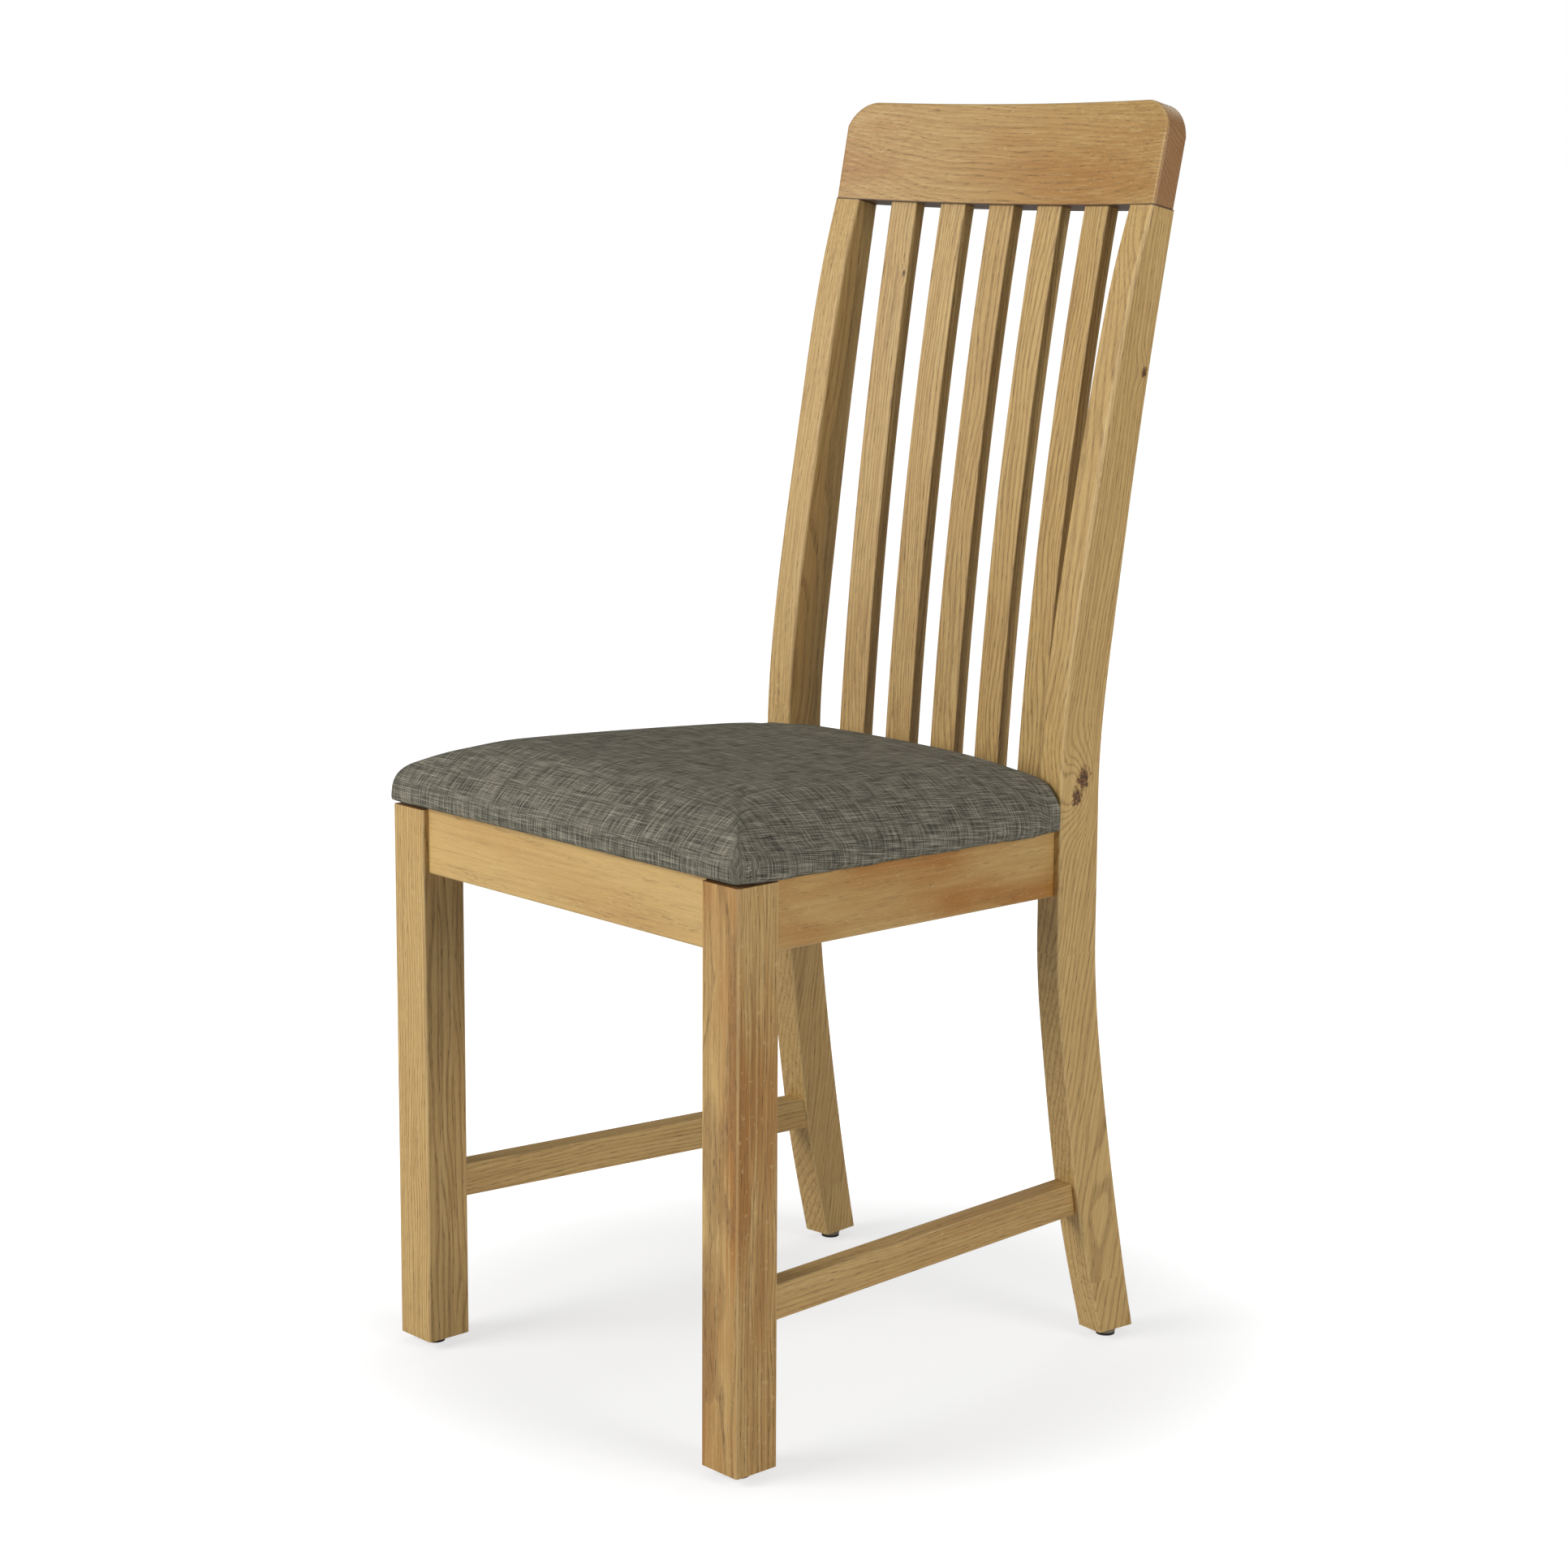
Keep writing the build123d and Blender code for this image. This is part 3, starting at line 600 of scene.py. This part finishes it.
def cad_profile(height, depth):
    """Length along the CAD cushion's skin, from its lower edge up its side and over its top."""
    arc_left = np.maximum(EDGE_ARC - depth, LEAST_ARC)
    turn = np.arctan2(np.maximum(height - SIDE_HEIGHT, 0), arc_left)
    profile = np.where(height < SIDE_HEIGHT, height, SIDE_HEIGHT + EDGE_ARC * turn)
    on_top = (depth > EDGE_ARC) & (height > SIDE_HEIGHT)
    return np.where(on_top, FLAT_START + depth, profile)


def pillow_section(profile, corner_run):
    """Where the same length along the pillow's skin ends: how far out of the edge and how high."""
    steps = np.hypot(np.diff(RUN_TABLE), np.diff(dome(RUN_TABLE)))
    lengths = np.concatenate([[0], np.cumsum(steps)])
    run = np.interp(np.maximum(profile - TUCK_RUN, 0), lengths, RUN_TABLE)
    turn = np.clip(profile / TUCK_RUN, 0, 1) * pi / 2
    below = profile < TUCK_RUN
    out = np.where(below, -TUCK + (TUCK + NOSE_OUT) * np.sin(turn), NOSE_OUT - run)
    high = NOSE_HEIGHT + dome(run) - droop(run, corner_run)
    return out, np.where(below, NOSE_HEIGHT * (1 - np.cos(turn)), high)


def shape_cushion(co):
    """Turn points on the boxy CAD cushion into a pillow, and say where each is on flat cloth."""
    height = over_seat(co)
    x, y = co[:, 0], co[:, 1]
    depth = inside_edge(x, y)
    in_x, in_y = inward(x, y)
    profile = cad_profile(height, depth)
    flat = profile - FLAT_START
    further = flat - depth
    thread = np.stack([x + in_x * further, y + in_y * further, np.zeros_like(x)], 1)

    corner_run = inside_edge(x, y, CORNER_SHARP) + NOSE_OUT
    out, new_height = pillow_section(profile, corner_run)
    under = (height < UNDER) & (depth > UNDER)
    out = np.where(under, -depth - TUCK * (1 - smooth_step(depth, 0.0, UNDER_FADE)), out)
    new_height = np.where(under, height, new_height)
    shift = (-out - depth) * (1 - smooth_step(depth, *SHIFT_FADE))

    # Beside the posts the cloth keeps to its notch, and only its height follows the dome.
    beside = 1 - smooth_step(from_post(x, y), *POST_FADE)
    arc_left = np.maximum(EDGE_ARC - depth, 0)
    cad_top = SIDE_HEIGHT + np.sqrt(EDGE_ARC ** 2 - arc_left ** 2)
    run = depth + NOSE_OUT
    dome_top = NOSE_HEIGHT + dome(run) - droop(run, corner_run)
    in_notch = np.clip(height / cad_top, 0, 1) * dome_top
    new_height = np.where(under, new_height, new_height * (1 - beside) + in_notch * beside)
    shift = shift * (1 - beside)
    shaped = co.copy()
    shaped[:, 0] += in_x * shift
    shaped[:, 1] += in_y * shift
    shaped[:, 2] += new_height - height
    return shaped, thread


def points_of(mesh):
    co = np.empty(len(mesh.vertices) * 3)
    mesh.vertices.foreach_get("co", co)
    return co.reshape(-1, 3)


def keep_outer_skin(mesh):
    """Keep only the connected skin that holds the highest point, without the hollows inside it."""
    form = bmesh.new()
    form.from_mesh(mesh)
    reached = {max(form.verts, key=lambda vert: vert.co.z)}
    border = list(reached)
    while border:
        vert = border.pop()
        for edge in vert.link_edges:
            other = edge.other_vert(vert)
            if other not in reached:
                reached.add(other)
                border.append(other)
    inside = [vert for vert in form.verts if vert not in reached]
    bmesh.ops.delete(form, geom=inside, context="VERTS")
    form.to_mesh(mesh)
    form.free()


def apply(piece, kind, **settings):
    """Add a modifier, set it up and apply it."""
    modifier = piece.modifiers.new(kind.lower(), kind)
    for key, value in settings.items():
        setattr(modifier, key, value)
    bpy.ops.object.modifier_apply(modifier=modifier.name)


def inflate(cushion):
    """Blow the cushion up as cloth that is held at its lower edge and in its post notches. No point
    moves further than SWELL_LIMIT."""
    scene = bpy.context.scene
    start = points_of(cushion.data)
    x, y = np.abs(start[:, 0]), start[:, 1]
    at_post = (x > POST_X - HELD_AT_POST) & (y > POST_Y - HELD_AT_POST)
    weights = np.where(at_post, 1.0, 1 - smooth_step(over_seat(start), *HELD_EDGE))
    held = cushion.vertex_groups.new(name="held")
    for index, weight in enumerate(weights):
        held.add([index], float(weight), "REPLACE")
    cloth = cushion.modifiers.new("cloth", "CLOTH")
    cloth.settings.quality = 6
    cloth.settings.mass = 0.3
    cloth.settings.tension_stiffness = 10
    cloth.settings.compression_stiffness = 10
    cloth.settings.bending_stiffness = 0.5
    cloth.settings.use_pressure = True
    cloth.settings.uniform_pressure_force = PRESSURE
    cloth.settings.vertex_group_mass = held.name
    cloth.settings.effector_weights.gravity = 0
    cloth.collision_settings.use_collision = False
    for step in range(1, SWELL_FRAMES + 1):
        scene.frame_set(step)
    bpy.ops.object.modifier_apply(modifier=cloth.name)
    scene.frame_set(1)
    move = points_of(cushion.data) - start
    length = np.maximum(np.linalg.norm(move, axis=1), TINY)
    moved = start + move * np.minimum(1, SWELL_LIMIT / length)[:, None]
    cushion.data.vertices.foreach_set("co", moved.ravel())


def new_object(name, data):
    thing = bpy.data.objects.new(name, data)
    bpy.context.scene.collection.objects.link(thing)
    return thing


def make_cushion():
    """The stuffed seat: its CAD solids joined, shaped into a pillow, and blown up as cloth."""
    joined = bmesh.new()
    for name in ("seat_cover", "seat_foam", "seat_board"):
        joined.from_mesh(nodes[name].data)
    mesh = bpy.data.meshes.new("seat_cushion")
    joined.to_mesh(mesh)
    joined.free()
    cushion = new_object("seat_cushion", mesh)
    bpy.context.view_layer.objects.active = cushion
    apply(cushion, "REMESH", mode="VOXEL", voxel_size=VOXEL)
    keep_outer_skin(cushion.data)
    shaped, thread = shape_cushion(points_of(cushion.data))
    cushion.data.vertices.foreach_set("co", shaped.ravel())
    threads = cushion.data.attributes.new("thread", "FLOAT_VECTOR", "POINT")
    threads.data.foreach_set("vector", thread.ravel())
    inflate(cushion)
    apply(cushion, "SMOOTH", factor=0.5, iterations=SMOOTHING)
    apply(cushion, "SUBSURF", levels=1, render_levels=1)
    cushion.data.polygons.foreach_set("use_smooth", [True] * len(cushion.data.polygons))
    return cushion


cushion = make_cushion()
cushion.data.materials.clear()
cushion.data.materials.append(cloth_material())
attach(cushion, "root")
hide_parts("seat_cover", "seat_foam")


# ---- Floor, light and camera ---------------------------------------------------------------------

FLOOR_SIZE = 40.0
# The glow is painted light, seen only by the camera: weaker under the chair, where its shadow
# shows, and full past it, hiding the lamps' shadows.
FLOOR_NEAR, FLOOR_FAR = 0.65, 1.0       # the floor's glow under the chair and past it
GLOW_RADII = (0.26, 0.54)               # between these distances from the middle
FLOOR_LIT = (0.7, 0.7, 0.7, 1)          # what the chair is lit by
FLOOR_SEEN = (0.35, 0.35, 0.35, 1)      # what shadows and glow are seen on
WHITE = (1, 1, 1, 1)
WORLD_SEEN, WORLD_LIGHT = 1.0, 0.14
LIGHTS = (                              # name, place, target, width and watts
    ("key", (-0.9, -3.0, 1.75), (0, 0, 0.6), 2.2, 98),
    ("fill", (3.3, 0.3, 1.4), (0, 0, 0.6), 1.6, 56),
    ("top", (0.0, -0.05, 3.0), (0, 0, 0), 1.6, 9),
    ("back", (-0.8, 3.2, 1.6), (0, 0, 0.7), 1.8, 22),
)
CAMERA_PLACE = (1.9066, -1.7595, 0.9614)
CAMERA_YAW, CAMERA_PITCH, CAMERA_ROLL = radians(47.624), radians(9.539), radians(0.284)
CAMERA_LENS = 75.6                      # mm, on a sensor 36 mm wide
CAMERA_SHIFT = -0.05


def make_floor():
    """A wide pale sheet that the chair stands on. To the camera it glows with painted light, weaker
    under the chair so that the chair's shadow shows there, and full past it, where it hides the
    lamps' shadows.
    """
    sheet = bmesh.new()
    bmesh.ops.create_grid(sheet, x_segments=2, y_segments=2, size=FLOOR_SIZE)
    mesh = bpy.data.meshes.new("floor")
    sheet.to_mesh(mesh)
    sheet.free()
    floor = new_object("floor", mesh)
    g = Graph("floor_white")
    away = g.vector("LENGTH", g.object_place(), output="Value")
    glow = g.step(away, *GLOW_RADII, FLOOR_NEAR, FLOOR_FAR)
    seen = g.add("ShaderNodeLightPath").outputs["Is Camera Ray"]
    surface = g.add("ShaderNodeBsdfPrincipled", {
        "Base Color": g.mix(seen, FLOOR_LIT, FLOOR_SEEN), "Roughness": 0.9,
        "Specular IOR Level": 0.1, "Emission Color": WHITE,
        "Emission Strength": g.times(seen, glow),
    })
    g.add("ShaderNodeOutputMaterial", {"Surface": surface.outputs[0]})
    mesh.materials.append(g.material)


def soft_light(name, place, target, size, watts):
    data = bpy.data.lights.new(name, "AREA")
    data.shape = "DISK"
    data.size = size
    data.energy = watts
    lamp = new_object(name, data)
    lamp.location = place
    lamp.rotation_euler = (Vector(target) - Vector(place)).to_track_quat("-Z", "Y").to_euler()


def make_world():
    """Even white surroundings, which light the chair weakly and are pure white behind it."""
    world = bpy.data.worlds.new("studio")
    world.use_nodes = True
    bpy.context.scene.world = world
    tree = world.node_tree
    back = tree.nodes["Background"]
    path = tree.nodes.new("ShaderNodeLightPath")
    strength = tree.nodes.new("ShaderNodeMapRange")
    strength.inputs["To Min"].default_value = WORLD_LIGHT
    strength.inputs["To Max"].default_value = WORLD_SEEN
    tree.links.new(path.outputs["Is Camera Ray"], strength.inputs["Value"])
    tree.links.new(strength.outputs[0], back.inputs["Strength"])
    back.inputs["Color"].default_value = WHITE


def make_camera():
    data = bpy.data.cameras.new("camera")
    data.lens = CAMERA_LENS
    data.sensor_width = 36.0
    data.shift_y = CAMERA_SHIFT
    data.clip_end = 100.0
    camera = new_object("camera", data)
    yaw, pitch, roll = CAMERA_YAW, CAMERA_PITCH, CAMERA_ROLL
    back = Vector((sin(yaw) * cos(pitch), -cos(yaw) * cos(pitch), sin(pitch)))
    right = Vector((cos(yaw), sin(yaw), 0))
    up = back.cross(right)
    turned_right = right * cos(roll) + up * sin(roll)
    turned_up = up * cos(roll) - right * sin(roll)
    turn = Matrix((turned_right, turned_up, back)).transposed().to_4x4()
    camera.matrix_world = Matrix.Translation(CAMERA_PLACE) @ turn
    bpy.context.scene.camera = camera


make_floor()
make_world()
for light in LIGHTS:
    soft_light(*light)
make_camera()
bpy.context.scene.view_settings.view_transform = "Standard"
